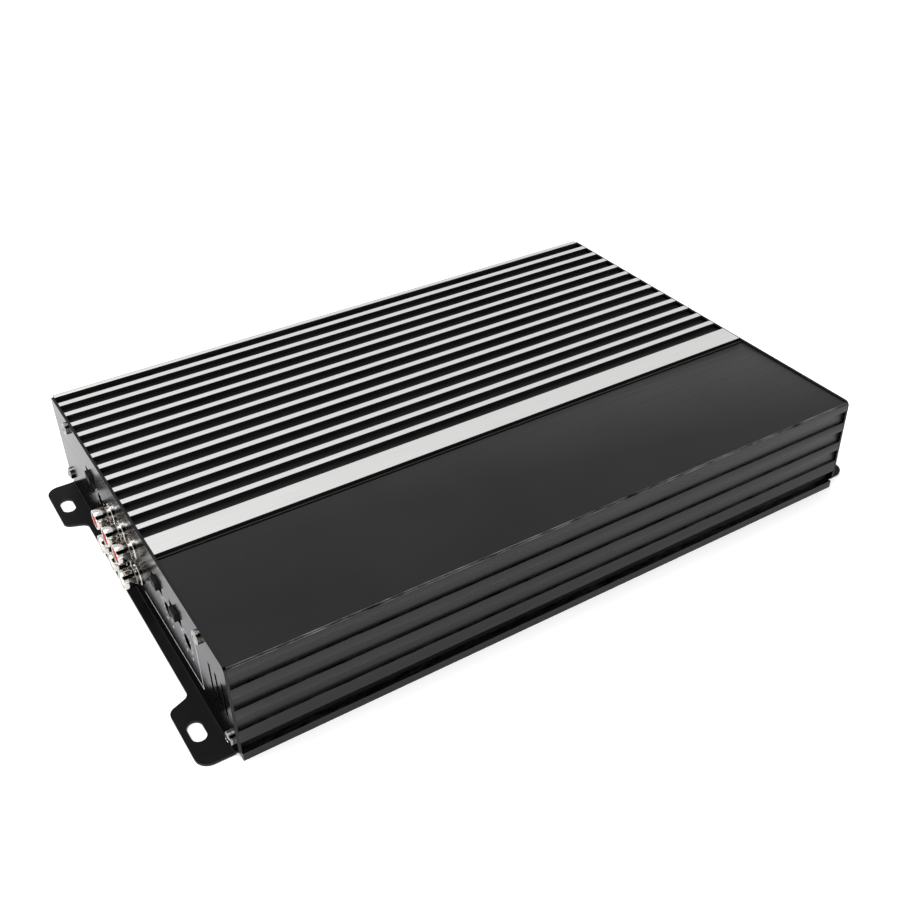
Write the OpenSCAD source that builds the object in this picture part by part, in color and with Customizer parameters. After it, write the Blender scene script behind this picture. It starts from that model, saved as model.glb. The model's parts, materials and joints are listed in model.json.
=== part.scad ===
// Four-channel car amplifier: a finned aluminium extrusion closed by two bent end panels and a bottom
// plate, with its circuit board, sockets, controls, terminals and fuses. The origin is the centre of the
// underside, +Z is up, the fins run along X, the signal inputs face -X and the power end faces +X.

/* [Heat sink] */
// Length of the extrusion along X
sink_l = 312; // [240:1:420]
// Width of the extrusion along Y
sink_w = 214; // [204:1:260]
// Height from the underside of the side lips to the fin tops
sink_h = 50; // [48:0.5:64]
// Thickness of the wall under the fins, down from the fin tops
roof_t = 7.5; // [6.5:0.1:9]
// Thickness of the side walls, in from the rib faces
wall_t = 4.5; // [3.5:0.1:6]
// Width of the thick rails at the foot of the side walls
rail_w = 10.5; // [10:0.1:13]
// Height of those rails above the underside
rail_h = 14; // [14:0.5:17]

/* [Fins and ribs] */
// Number of equal fins behind the wide band
fin_count = 12; // [6:1:12]
// Width of one fin
fin_w = 3.24; // [2:0.02:4]
// Gap between two fins
fin_gap = 6.76; // [5:0.02:7]
// Depth of the gaps between the fins
fin_depth = 2.3; // [1.5:0.1:3]
// Width of the fin along the back edge
edge_fin_w = 3.5; // [2:0.1:5]
// Distance from the front edge to the wide band
band_y = 72.6; // [60:0.2:74]
// Width of the wide band
band_w = 12.1; // [8:0.1:16]
// How far the plain plate lies below the fin tops
plate_drop = 1; // [0.4:0.1:1.5]
// Width of each groove beside the thin ridge
groove_w = 1.1; // [0.6:0.1:1.6]
// Width of the thin ridge between the grooves
ridge_w = 0.9; // [0.5:0.1:1.5]
// Spacing of the ribs down each side
rib_pitch = 11; // [10:0.1:12]
// Height of the flat face of the top rib
rib_top_face = 5.3; // [4:0.1:6]
// Height of the flat face of a rib
rib_face = 4.7; // [4:0.1:6]
// Height of the slope under a rib face
rib_slope = 1.4; // [0.6:0.1:2]
// Depth of the recess between ribs
rib_depth = 1.2; // [0.6:0.1:1.6]
// Radius of the upper long edges
edge_r = 0.9; // [0.3:0.1:1.5]
// Depth of the open channel over the bottom lip
channel_depth = 3.5; // [2:0.1:3.8]
// Height of the mouth of that channel
channel_h = 6.2; // [4:0.1:6.4]
// Height of the bottom lip under the channel
lip_h = 3.8; // [3:0.1:4.2]

/* [End panels] */
// Thickness of the bent sheet
panel_t = 1.2; // [1:0.1:2]
// How far the foot of a panel reaches out between its tabs
foot_out = 4.7; // [4:0.1:6]
// How far the mounting tabs reach out from the panel
tab_out = 14.5; // [14:0.1:20]
// Length of a mounting tab along the panel, at its root
tab_w = 38.5; // [36:0.5:46]
// Distance from the side of the panel to the nearer side of a tab
tab_inset = 4.5; // [3:0.5:6]
// How far the slanted side of a tab leans in
tab_slant = 4.3; // [0:0.1:6]
// Radius of the outer corner of a tab
tab_outer_r = 6; // [3:0.1:8]
// Radius of the corner of a tab on its slanted side
tab_inner_r = 4; // [3:0.1:6]
// Radius of the inside corner between a tab and the foot
tab_fillet = 3.5; // [2:0.1:5]
// Width of the mounting slot
slot_w = 6.2; // [4:0.1:6.6]
// Length of the mounting slot
slot_l = 11.2; // [8:0.1:14]
// Distance from the panel to the middle of the slot
slot_out = 8.6; // [8:0.1:9.5]
// Distance from the side of the panel to the middle of the slot
slot_side = 22.4; // [20:0.1:25]
// Radius of the upper corners of a panel
panel_r = 2.5; // [1:0.1:4]
// Outer radius of the bend
bend_r = 2; // [1.8:0.1:4]
// How far the panel stops below the fin tops
panel_drop = 0.4; // [0.2:0.1:1]
// Number of upright vent slots
vent_count = 3; // [1:1:4]
// Width of a vent slot
vent_w = 1.5; // [1:0.1:2.5]
// Height of a vent slot
vent_h = 17; // [10:0.5:20]
// Spacing of the vent slots
vent_pitch = 6.2; // [4:0.1:6.5]
// Distance from the side of the panel to the first vent slot
vent_y = 6; // [5:0.1:8]
// Distance from the fin tops down to the vent slots
vent_drop = 13; // [11:0.5:16]

/* [Fasteners] */
// Diameter of the panel screws
screw_d = 2.6; // [2:0.1:3]
// Diameter of their heads
screw_head_d = 6; // [5:0.1:6.4]
// Height of their heads
screw_head_h = 2.2; // [1.6:0.1:2.6]
// Length of their shanks
screw_l = 10; // [6:0.5:16]
// Distance from the side of the panel to an upper screw
screw_top_y = 25; // [22:0.5:28]
// Distance from the fin tops down to an upper screw
screw_top_z = 4.8; // [4.6:0.1:5.2]
// Distance from the side of the panel to a lower screw
screw_low_y = 6.4; // [6.2:0.1:6.8]
// Height of a lower screw above the underside
screw_low_z = 8; // [7.4:0.1:8.4]
// Number of screws along each side of the bottom plate
bottom_screw_count = 4; // [2:1:8]

/* [Bottom plate and board] */
// Thickness of the bottom plate
bottom_t = 1.2; // [0.8:0.1:1.6]
// Height of the underside of the circuit board
board_z = 11.5; // [10.6:0.1:12]
// Thickness of the circuit board
board_t = 1.6; // [1:0.1:2]
// How far the board edges reach into the rails
board_grip = 1.5; // [1:0.1:2]

/* [Signal end] */
// Distance from the front side to the middle column of input jacks
jack_y = 117.3; // [110:0.1:125]
// Spacing of the jacks both ways
jack_pitch = 14; // [12.5:0.1:14.4]
// Height of the lower row of jacks
jack_z = 18; // [17.8:0.1:19]
// Outer diameter of a jack barrel
jack_d = 9; // [8:0.1:9.2]
// How far a barrel stands out of the panel
jack_out = 8; // [6:0.1:10]
// Wall of a barrel
jack_wall = 0.7; // [0.4:0.05:1]
// Bore of the centre contact, which takes the plug's pin
jack_bore = 3.2; // [3:0.05:3.4]
// Height of the slide switches
switch_z = 34.3; // [33.5:0.1:36]
// Length of the window of a slide switch
switch_slot_l = 12.5; // [12:0.1:13]
// Width of a switch knob
knob_w = 7; // [5:0.1:7.4]
// Height of a switch knob
knob_h = 5; // [4:0.1:5.4]
// How far a knob stands out of the panel
knob_out = 2.5; // [2:0.1:4]
// How far the level controls lie below the switches
pot_drop = 6.7; // [6.7:0.1:8]
// Diameter of the shaft of a level control
pot_shaft_d = 6; // [5:0.1:6]
// How far the shaft ends stand behind the face of the panel
pot_sunk = 0.6; // [0:0.1:1.2]
// Distance from the front side to the level control of the front channels
front_level_y = 43; // [42:0.5:44]
// Distance from the front side to the crossover control
crossover_y = 64.5; // [64.5:0.5:68]
// Distance from the front side to the level control of the rear channels
rear_level_y = 150.5; // [148:0.5:156]

/* [Power end] */
// Number of speaker terminals
speaker_ways = 8; // [2:1:8]
// Spacing of the speaker terminals
speaker_pitch = 9.5; // [8:0.1:10]
// Wire entry of a speaker terminal
speaker_bore = 4.2; // [3:0.1:5]
// Number of supply terminals
supply_ways = 3; // [2:1:3]
// Spacing of the supply terminals
supply_pitch = 15; // [13:0.1:16]
// Wire entry of a supply terminal
supply_bore = 8; // [6:0.1:9]
// Distance from the front side to the middle of the speaker terminals
speaker_y = 56; // [52:0.5:62]
// Distance from the middle of the panel to the middle of the fuse holder
fuse_offset = 13; // [10:0.5:16]
// Distance from the back side to the middle of the supply terminals
supply_back = 46; // [43:0.5:50]
// Distance from the back side to the further indicator lamp
lamp_back = 19.5; // [18:0.1:19.5]
// Diameter of an indicator lamp
lamp_d = 3; // [2:0.1:3.4]
// Width of a fuse over its two blades
fuse_w = 19; // [17:0.1:20]
// Thickness of a fuse body
fuse_t = 5.1; // [4:0.1:6]
// Spacing of the fuses
fuse_pitch = 11; // [10:0.1:14]

/* [Inner parts] */
// Number of transistors along each side
chip_count = 8; // [2:1:9]
// Spacing of those transistors
chip_pitch = 30; // [26:0.5:34]
// Outer diameter of the wound transformer
toroid_d = 52; // [40:0.5:56]
// Height of the wound transformer
toroid_h = 22; // [16:0.5:23]
// Diameter of a reservoir capacitor
bulk_d = 18; // [12:0.5:22]
// Height of a reservoir capacitor
bulk_h = 22; // [14:0.5:23]
// Diameter of a small capacitor
small_d = 10; // [6:0.5:12]
// Height of a small capacitor
small_h = 16; // [10:0.5:20]
// Distance from the power end to the small capacitors there
power_row_inset = 32; // [28:0.5:40]
// Distance from the signal end to the small capacitors there
signal_row_inset = 36; // [32:0.5:40]
// Distance from the middle to the first small capacitor of a row
small_row_y = 70; // [60:0.5:75]
// Distance from the signal end to the row of chips
chip_row_inset = 56; // [52:0.5:60]
// Distance from the middle to the first chip
chip_row_y = 60; // [56:0.5:65]
// Spacing of the chips
chip_row_pitch = 28; // [24:0.5:30]

/* [Hidden] */
$fn = 48;
eps = 0.01;
// Clearance of a screw in its hole, of a piece in its cut-out, and of a turning shaft in its bush
screw_gap = 0.05;
hole_gap = 0.3;
run_gap = 0.05;
front = -sink_w / 2;
sink_x = sink_l / 2;
face_x = sink_x + panel_t;
inner_y = sink_w / 2 - wall_t;
rail_y = sink_w / 2 - rail_w;
roof_z = sink_h - roof_t;
supply_y = sink_w - supply_back;
fuse_y = sink_w / 2 + fuse_offset;
board_top = board_z + board_t;
// How far the bottom plate lies over each rail
bottom_seat = 3.5;
bottom_w = 2 * (rail_y + bottom_seat);
panel_h = sink_h - panel_drop;

// ---- shared helpers -------------------------------------------------------------------------------

// A profile drawn in Y and Z, run along X between two places
module along_x(x0, x1) {
    translate([x0, 0, 0]) rotate([90, 0, 90]) linear_extrude(x1 - x0) children();
}

// A round bar or hole along X
module rod_x(x0, x1, y, z, d) {
    translate([x0, y, z]) rotate([0, 90, 0]) cylinder(d = d, h = x1 - x0);
}

// A box given by its low corner and its high corner
module block(low, high) {
    translate(low) cube(high - low);
}

// Both long sides of the body: the children are drawn for the back side and mirrored to the front
module both_sides() {
    children();
    mirror([0, 1, 0]) children();
}

// Both long sides of a profile, which is drawn in Y and Z
module both_edges() {
    children();
    mirror([1, 0]) children();
}

// ---- heat sink ------------------------------------------------------------------------------------

// The ribs are spaced from a line just under the fin tops
rib_start = 0.8;
function rib_top(k) = sink_h - rib_start - rib_pitch * k;

// What is milled away from one side: the recesses between the ribs, and the channel over the lip
module side_cuts() {
    outer = sink_w / 2;
    channel_slope = 0.8;
    for (k = [0:2]) {
        top = k == 0 ? sink_h - rib_top_face : rib_top(k) - rib_face;
        polygon([[outer + 1, top], [outer, top], [outer - rib_depth, top - rib_slope],
            [outer - rib_depth, rib_top(k + 1)], [outer + 1, rib_top(k + 1)]]);
    }
    mouth = lip_h + channel_h;
    polygon([[outer + 1, mouth], [outer, mouth], [outer - channel_depth, mouth - channel_depth * channel_slope],
        [outer - channel_depth, lip_h], [outer + 1, lip_h]]);
}

// The round on an upper long edge, as what is cut off the square corner at a height
module edge_round(top) {
    corner = [sink_w / 2 - edge_r, top - edge_r];
    difference() {
        translate(corner) square(edge_r + 1);
        translate(corner) circle(edge_r);
    }
}

// What is milled from the top: the gaps between the fins, the grooves and the plain plate
module top_cuts() {
    fins_y = front + band_y + band_w;
    for (k = [0:fin_count - 1])
        translate([fins_y + k * (fin_w + fin_gap), sink_h - fin_depth]) square([fin_gap, fin_depth + 1]);
    last_y = fins_y + fin_count * (fin_w + fin_gap);
    edge_y = sink_w / 2 - edge_fin_w;
    if (edge_y > last_y) translate([last_y, sink_h - fin_depth]) square([edge_y - last_y, fin_depth + 1]);
    for (k = [1, 2])
        translate([front + band_y - k * groove_w - (k - 1) * ridge_w, sink_h - fin_depth])
            square([groove_w, fin_depth + 1]);
    translate([front - 1, sink_h - plate_drop]) square([band_y + 1, plate_drop + 1]);
}

// The room inside: wide between the walls, narrower between the rails, with rounded upper corners and a
// boss left under the roof for each upper panel screw
module cavity_profile() {
    corner_r = 2;
    boss_d = 7;
    difference() {
        translate([-inner_y, rail_h]) square([2 * inner_y, roof_z - rail_h]);
        both_edges() {
            difference() {
                translate([inner_y - corner_r, roof_z - corner_r]) square(corner_r + 1);
                translate([inner_y - corner_r, roof_z - corner_r]) circle(corner_r);
            }
            translate([sink_w / 2 - screw_top_y, sink_h - screw_top_z]) circle(d = boss_d);
        }
    }
    translate([-rail_y, -1]) square([2 * rail_y, rail_h + 1 + eps]);
    both_edges() {
        translate([rail_y - 1, board_z]) square([1 + board_grip, board_t + screw_gap]);
        translate([rail_y - 1, -1]) square([bottom_w / 2 - rail_y + 1 + screw_gap, 1 + bottom_t]);
    }
}

module sink_profile() {
    difference() {
        translate([front, 0]) square([sink_w, sink_h]);
        both_edges() side_cuts();
        edge_round(sink_h);
        mirror([1, 0]) edge_round(sink_h - plate_drop);
        top_cuts();
        cavity_profile();
        both_edges() {
            translate([sink_w / 2 - screw_top_y, sink_h - screw_top_z]) circle(d = screw_d + 2 * screw_gap);
            translate([sink_w / 2 - screw_low_y, screw_low_z]) circle(d = screw_d + 2 * screw_gap);
        }
    }
}

module heat_sink() {
    color("#2b2b2d") difference() {
        along_x(-sink_x, sink_x) sink_profile();
        both_sides() {
            for (x = bottom_screw_xs()) bottom_screw(x, screw_gap);
            for (x = clamp_screw_xs()) clamp_screw_shank(x, screw_gap);
        }
    }
}

// ---- bottom plate ---------------------------------------------------------------------------------

// The end screws of the plate stand in from its ends
bottom_screw_inset = 20;
bottom_screw_y = rail_y + bottom_seat / 2;
bottom_screw_d = 2;
bottom_screw_l = 5.5;
bottom_head_d = 3.2;
function bottom_screw_xs() = [for (k = [0:bottom_screw_count - 1])
    (k / (bottom_screw_count - 1) - 0.5) * (sink_l - 2 * bottom_screw_inset)];

// A countersunk screw up through the plate into a rail, with a clearance all round for its hole
module bottom_screw(x, gap) {
    translate([x, bottom_screw_y, -gap]) {
        cylinder(d1 = bottom_head_d + 2 * gap, d2 = bottom_screw_d + 2 * gap, h = bottom_t + gap);
        cylinder(d = bottom_screw_d + 2 * gap, h = bottom_screw_l + gap);
    }
}

module bottom_plate() {
    color("#3a3a3c") difference() {
        block([-sink_x, -bottom_w / 2, 0], [sink_x, bottom_w / 2, bottom_t]);
        both_sides() for (x = bottom_screw_xs()) bottom_screw(x, screw_gap);
    }
}

module bottom_screws() {
    color("#8d8d90") both_sides() for (x = bottom_screw_xs()) bottom_screw(x, 0);
}

// ---- end panels -----------------------------------------------------------------------------------

// The face of a panel in Y and Z: round upper corners, and lower corners cut back to where the foot starts
module panel_face() {
    half = sink_w / 2;
    low = half - tab_inset;
    difference() {
        translate([-half, bend_r]) square([sink_w, panel_h - bend_r]);
        both_edges() {
            difference() {
                translate([half - panel_r, panel_h - panel_r]) square(panel_r + 1);
                translate([half - panel_r, panel_h - panel_r]) circle(panel_r);
            }
            polygon([[half + 1, bend_r - 1], [low, bend_r - 1], [low, bend_r],
                [half, bend_r + 0.7 * tab_inset], [half + 1, bend_r + 0.7 * tab_inset]]);
        }
    }
}

// The tab at the back end of a foot, in X and Y: round at its outer corners and slanted on its inner side
module tab_outline() {
    root_y = sink_w / 2 - tab_inset;
    end_y = root_y - tab_w;
    hull() {
        translate([tab_out - tab_outer_r, root_y - tab_outer_r]) circle(tab_outer_r);
        translate([tab_out - tab_inner_r, end_y + tab_slant + tab_inner_r]) circle(tab_inner_r);
        translate([foot_x, end_y]) square([eps, tab_w]);
    }
}

slot_y = sink_w / 2 - slot_side;

module slot_outline() {
    run = (slot_l - slot_w) / 2;
    translate([slot_out, slot_y - run]) circle(d = slot_w);
    translate([slot_out, slot_y + run]) circle(d = slot_w);
    translate([slot_out - slot_w / 2, slot_y - run]) square([slot_w, 2 * run]);
}

// Both ends of a foot: the children are drawn for the back end and mirrored to the front
module both_feet() {
    children();
    mirror([0, 1]) children();
}

// The foot, drawn outward from the panel face: a narrow shelf with a slotted tab at each end
foot_x = bend_r - panel_t;

module foot_outline() {
    half = sink_w / 2 - tab_inset;
    difference() {
        intersection() {
            offset(r = -tab_fillet) offset(delta = tab_fillet) union() {
                translate([-tab_out, -half]) square([tab_out + foot_out, 2 * half]);
                both_feet() tab_outline();
            }
            translate([foot_x, -half]) square([tab_out, 2 * half]);
        }
        both_feet() slot_outline();
    }
}

// A bent panel for the +X end. The children are cut out of its face.
module panel_sheet() {
    low = sink_w / 2 - tab_inset;
    difference() {
        along_x(sink_x, face_x) panel_face();
        for (s = [-1, 1]) {
            rod_x(sink_x - 1, face_x + 1, s * (sink_w / 2 - screw_top_y), sink_h - screw_top_z,
                screw_d + 2 * hole_gap);
            rod_x(sink_x - 1, face_x + 1, s * (sink_w / 2 - screw_low_y), screw_low_z,
                screw_d + 2 * hole_gap);
        }
        children();
    }
    translate([sink_x + bend_r, low, bend_r]) rotate([90, 0, 0]) linear_extrude(2 * low) intersection() {
        difference() {
            circle(bend_r);
            circle(bend_r - panel_t);
        }
        translate([-bend_r - 1, -bend_r - 1]) square(bend_r + 1);
    }
    translate([face_x, 0, 0]) linear_extrude(panel_t) foot_outline();
}

// The four screws of a panel at the +X end
module panel_screw_set() {
    for (s = [-1, 1]) {
        panel_screw(s * (sink_w / 2 - screw_top_y), sink_h - screw_top_z);
        panel_screw(s * (sink_w / 2 - screw_low_y), screw_low_z);
    }
}

// A pan-head screw with a cross recess, along X into the sink
module panel_screw(y, z) {
    recess = [1.8, 3, 0.7];
    difference() {
        translate([face_x, y, z]) rotate([0, 90, 0]) rotate_extrude() {
            square([screw_head_d / 2, screw_head_h / 2]);
            intersection() {
                square([screw_head_d / 2, screw_head_h]);
                translate([0, screw_head_h - screw_head_d]) circle(r = screw_head_d);
            }
        }
        for (a = [0, 90])
            translate([face_x + screw_head_h, y, z]) rotate([a, 0, 0]) cube(recess, center = true);
    }
    rod_x(face_x - screw_l, face_x, y, z, screw_d);
}

// ---- signal end: everything is drawn for the +X side and turned to the -X end ---------------------

// Turns a piece drawn at the +X end to the -X end, keeping the front side at the front
module signal_end() {
    mirror([1, 0, 0]) children();
}

function jack_rows() = [jack_z, jack_z + jack_pitch];
function jack_columns() = [for (k = [-1:1]) front + jack_y + k * jack_pitch];

// Each slide switch stands behind its level control
switch_step = switch_slot_l / 2 + 4.25;
level_ys = [for (y = [front_level_y, crossover_y, rear_level_y]) front + y];
switch_ys = [for (y = level_ys) y + switch_step];
pot_z = switch_z - pot_drop;

module input_panel() {
    color("#6e6e70") signal_end() panel_sheet() {
        for (y = jack_columns(), z = jack_rows()) rod_x(sink_x - 1, face_x + 1, y, z, jack_d + 2 * hole_gap);
        for (y = switch_ys)
            block([sink_x - 1, y - switch_slot_l / 2, switch_z - knob_h / 2 - hole_gap],
                [face_x + 1, y + switch_slot_l / 2, switch_z + knob_h / 2 + hole_gap]);
        for (y = level_ys) rod_x(sink_x - 1, face_x + 1, y, pot_z, pot_shaft_d + 2 * hole_gap);
        vent_z = sink_h - vent_drop - vent_h;
        for (k = [0:vent_count - 1])
            block([sink_x - 1, front + vent_y + k * vent_pitch - vent_w / 2, vent_z],
                [face_x + 1, front + vent_y + k * vent_pitch + vent_w / 2, vent_z + vent_h]);
    }
}

module input_panel_screws() {
    color("#b9b9bc") signal_end() panel_screw_set();
}

// The moulded block behind the panel, with a pocket for the root of each barrel
jack_depth = 13;
barrel_root = 5;

module jack_housing() {
    half = jack_pitch * 1.5 - 0.4;
    color("#1c1c1e") signal_end() difference() {
        block([sink_x - jack_depth, front + jack_y - half, board_top],
            [sink_x, front + jack_y + half, min(jack_z + jack_pitch * 1.5 - 0.4, roof_z - hole_gap)]);
        for (y = jack_columns(), z = jack_rows()) rod_x(sink_x - barrel_root, sink_x + 1, y, z, jack_d);
    }
}

module jack_barrels() {
    inner = jack_d - 2 * jack_wall;
    color("#d8d8da") signal_end() for (y = jack_columns(), z = jack_rows()) difference() {
        union() {
            rod_x(sink_x - barrel_root, face_x + jack_out, y, z, jack_d);
            rod_x(face_x + 0.1, face_x + 1, y, z, jack_d + 1.4);
        }
        rod_x(sink_x - barrel_root - 1, face_x + jack_out + 1, y, z, inner);
    }
}

// The coloured plug inside a barrel, standing a little proud, around its contact tube
module jack_insulator(y, z) {
    proud = 0.5;
    difference() {
        rod_x(sink_x - barrel_root, face_x + jack_out + proud, y, z, jack_d - 2 * jack_wall);
        rod_x(sink_x - barrel_root - 1, face_x + jack_out + 2, y, z, jack_bore + 1);
    }
}

module jack_insulators_red() {
    color("#c2281e") signal_end() for (y = jack_columns()) jack_insulator(y, jack_rows()[1]);
}

module jack_insulators_white() {
    color("#ececea") signal_end() for (y = jack_columns()) jack_insulator(y, jack_rows()[0]);
}

// A split tube for the pin of a plug, closed at its inner end
module jack_contacts() {
    color("#c9a227") signal_end() for (y = jack_columns(), z = jack_rows()) difference() {
        rod_x(sink_x - barrel_root, face_x + jack_out, y, z, jack_bore + 1);
        rod_x(sink_x - barrel_root + 1, face_x + jack_out + 1, y, z, jack_bore);
    }
}

// The slide switches: a shell behind the panel, open to the front for the flat stem of its knob
switch_depth = 7;
switch_back_t = 1.5;
switch_shell_h = 6;
stem_w = knob_w - 1;
stem_h = 1.6;
// Travel of a knob to each side of its middle place, up to the ends of its window
switch_travel = (switch_slot_l - knob_w) / 2 - hole_gap - screw_gap;

module switch_housings() {
    half = switch_slot_l / 2 + 0.5;
    room = stem_w / 2 + switch_travel + hole_gap;
    leg = 0.5;
    color("#9a9a9e") signal_end() for (y = switch_ys) difference() {
        union() {
            block([sink_x - switch_depth, y - half, switch_z - switch_shell_h / 2],
                [sink_x, y + half, switch_z + switch_shell_h / 2]);
            for (s = [-1, 1])
                block([sink_x - switch_depth, y + s * half / 2 - leg, board_top],
                    [sink_x - switch_depth + 2 * leg, y + s * half / 2 + leg, switch_z]);
        }
        block([sink_x - switch_depth + switch_back_t, y - room, switch_z - stem_h / 2 - hole_gap],
            [sink_x + 1, y + room, switch_z + stem_h / 2 + hole_gap]);
    }
}

// A knob at its middle place: a ridged block in the window of the panel, on a flat stem
module slide_knob(y) {
    ridge = 0.4;
    color("#161617") signal_end() difference() {
        union() {
            block([sink_x + hole_gap, y - knob_w / 2, switch_z - knob_h / 2],
                [face_x + knob_out, y + knob_w / 2, switch_z + knob_h / 2]);
            block([sink_x - switch_depth + switch_back_t + hole_gap, y - stem_w / 2, switch_z - stem_h / 2],
                [face_x, y + stem_w / 2, switch_z + stem_h / 2]);
        }
        for (k = [-1:1])
            block([face_x + knob_out - ridge, y + k * knob_w / 4 - ridge, switch_z - knob_h],
                [face_x + knob_out + 1, y + k * knob_w / 4 + ridge, switch_z + knob_h]);
    }
}

// The level controls: a square housing on a leg from the board, with a bored bush and a slotted shaft in it
pot_depth = 12;
pot_body = 7;
pot_bush_l = 5;
pot_back_t = 2;

module level_control_housings() {
    leg = 2.5;
    color("#3f4a3f") signal_end() for (y = level_ys) difference() {
        union() {
            block([sink_x - pot_depth, y - pot_body / 2, pot_z - pot_body / 2],
                [sink_x, y + pot_body / 2, pot_z + pot_body / 2]);
            block([sink_x - pot_depth, y - leg, board_top], [sink_x - pot_depth + 1, y + leg, pot_z]);
        }
        rod_x(sink_x - pot_depth + pot_back_t, sink_x + 1, y, pot_z, pot_shaft_d + 2 * run_gap);
    }
}

module level_shaft(y) {
    driver_w = 1;
    driver_depth = 1.2;
    tip_x = face_x - pot_sunk;
    color("#8f8f92") signal_end() difference() {
        rod_x(sink_x - pot_depth + pot_back_t + hole_gap, tip_x, y, pot_z, pot_shaft_d);
        block([tip_x - driver_depth, y - pot_shaft_d, pot_z - driver_w / 2],
            [tip_x + 1, y + pot_shaft_d, pot_z + driver_w / 2]);
    }
}

// ---- power end ------------------------------------------------------------------------------------

// The clamps stand in the part of a block that lies outside the panel, where their screws can be reached
// from above. Each cell holds a clamp between the panel and the front wall of the block.
cell_wall = 2;
cell_share = 0.72;
clamp_gap = 0.1;
wire_sill = 3;
speaker_root = 4;
supply_root = 6;
speaker_out = 10;
supply_out = 14;
speaker_h = 15;
supply_h = 20;

function way_ys(ways, pitch, middle) = [for (k = [0:ways - 1]) front + middle + (k - (ways - 1) / 2) * pitch];
function wire_z(bore) = board_top + wire_sill + bore / 2;

// A block with a wire entry through its front wall and a screw well over each clamp
module terminal_block(ways, pitch, middle, bore, root, out, height) {
    w = ways * pitch;
    y0 = front + middle - w / 2;
    fence = 0.6;
    top = board_top + height;
    cell = pitch * cell_share / 2;
    difference() {
        union() {
            block([sink_x - root, y0, board_top], [face_x + out, y0 + w, top]);
            for (k = [0:ways])
                block([face_x + hole_gap, y0 + k * pitch - fence, board_top],
                    [face_x + out, y0 + k * pitch + fence, top + 2 * fence]);
        }
        for (y = way_ys(ways, pitch, middle)) {
            rod_x(face_x + cell_wall, face_x + out + 1, y, wire_z(bore), bore);
            block([face_x + cell_wall, y - cell, wire_z(bore) - bore / 2 - 1],
                [face_x + out - cell_wall, y + cell, top - 2]);
            translate([face_x + out / 2, y, top - 3]) cylinder(d = pitch * 0.5, h = 4);
        }
    }
}

// The clamps of a block: a cube round the wire with a threaded hole for its screw
module terminal_clamps(ways, pitch, middle, bore, out, height) {
    half_y = pitch * cell_share / 2 - clamp_gap;
    top = board_top + height - 2 - clamp_gap;
    for (y = way_ys(ways, pitch, middle)) difference() {
        block([face_x + cell_wall + clamp_gap, y - half_y, wire_z(bore) - bore / 2 - 1 + clamp_gap],
            [face_x + out - cell_wall - clamp_gap, y + half_y, top]);
        rod_x(face_x, face_x + out, y, wire_z(bore), bore);
        translate([face_x + out / 2, y, wire_z(bore)]) cylinder(d = pitch * 0.3, h = height);
    }
}

module terminal_screws(ways, pitch, middle, bore, out, height) {
    head_z = board_top + height - 2 + clamp_gap;
    head_h = 1.6;
    driver_w = 0.8;
    low = wire_z(bore) + bore / 2 + clamp_gap;
    for (y = way_ys(ways, pitch, middle)) difference() {
        union() {
            translate([face_x + out / 2, y, low]) cylinder(d = pitch * 0.3 - clamp_gap, h = head_z - low);
            translate([face_x + out / 2, y, head_z]) cylinder(d = pitch * 0.46, h = head_h);
        }
        block([face_x, y - driver_w / 2, head_z + head_h / 2], [face_x + out, y + driver_w / 2, head_z + height]);
    }
}

module speaker_terminal_block() {
    color("#141415")
        terminal_block(speaker_ways, speaker_pitch, speaker_y, speaker_bore, speaker_root, speaker_out, speaker_h);
}

module speaker_terminal_clamps() {
    color("#c9a227")
        terminal_clamps(speaker_ways, speaker_pitch, speaker_y, speaker_bore, speaker_out, speaker_h);
}

module speaker_terminal_screws() {
    color("#c8c8cb")
        terminal_screws(speaker_ways, speaker_pitch, speaker_y, speaker_bore, speaker_out, speaker_h);
}

module supply_terminal_block() {
    color("#141415")
        terminal_block(supply_ways, supply_pitch, supply_y, supply_bore, supply_root, supply_out, supply_h);
}

module supply_terminal_clamps() {
    color("#c9a227")
        terminal_clamps(supply_ways, supply_pitch, supply_y, supply_bore, supply_out, supply_h);
}

module supply_terminal_screws() {
    color("#c8c8cb")
        terminal_screws(supply_ways, supply_pitch, supply_y, supply_bore, supply_out, supply_h);
}

// The fuses stand upright side by side in a holder with one pocket each
fuse_wall = 3;
fuse_z = board_top + fuse_wall + fuse_w / 2;
holder_top = min(fuse_z + fuse_w / 2 + fuse_wall, roof_z - hole_gap);
pocket_gap = 0.4;
pocket_depth = 11;
blade_l = 8;
blade_w = 5.1;
blade_t = 0.7;
fuse_body_l = 12;
fuse_seat = 2.5;
fuse_ys = [front + fuse_y - fuse_pitch / 2, front + fuse_y + fuse_pitch / 2];

module fuse_holder() {
    half = fuse_pitch + 1;
    color("#18181a") difference() {
        block([sink_x - pocket_depth - 2, front + fuse_y - half, board_top],
            [face_x + 0.6, front + fuse_y + half, holder_top]);
        for (y = fuse_ys)
            block([sink_x - pocket_depth, y - fuse_t / 2 - pocket_gap, fuse_z - fuse_w / 2 - pocket_gap],
                [face_x + 1, y + fuse_t / 2 + pocket_gap, fuse_z + fuse_w / 2 + pocket_gap]);
    }
}

// Two leaves beside each blade, rising from the floor of the pocket
module fuse_clips() {
    leaf_t = 0.5;
    leaf_gap = blade_t / 2 + screw_gap;
    color("#c9a227") for (y = fuse_ys, s = [-1, 1], side = [-1, 1])
        translate([sink_x - pocket_depth, y + side * (leaf_gap + leaf_t / 2), fuse_z + s * (fuse_w / 2 - 4)])
            block([0, -leaf_t / 2, -2.5], [6, leaf_t / 2, 2.5]);
}

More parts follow.
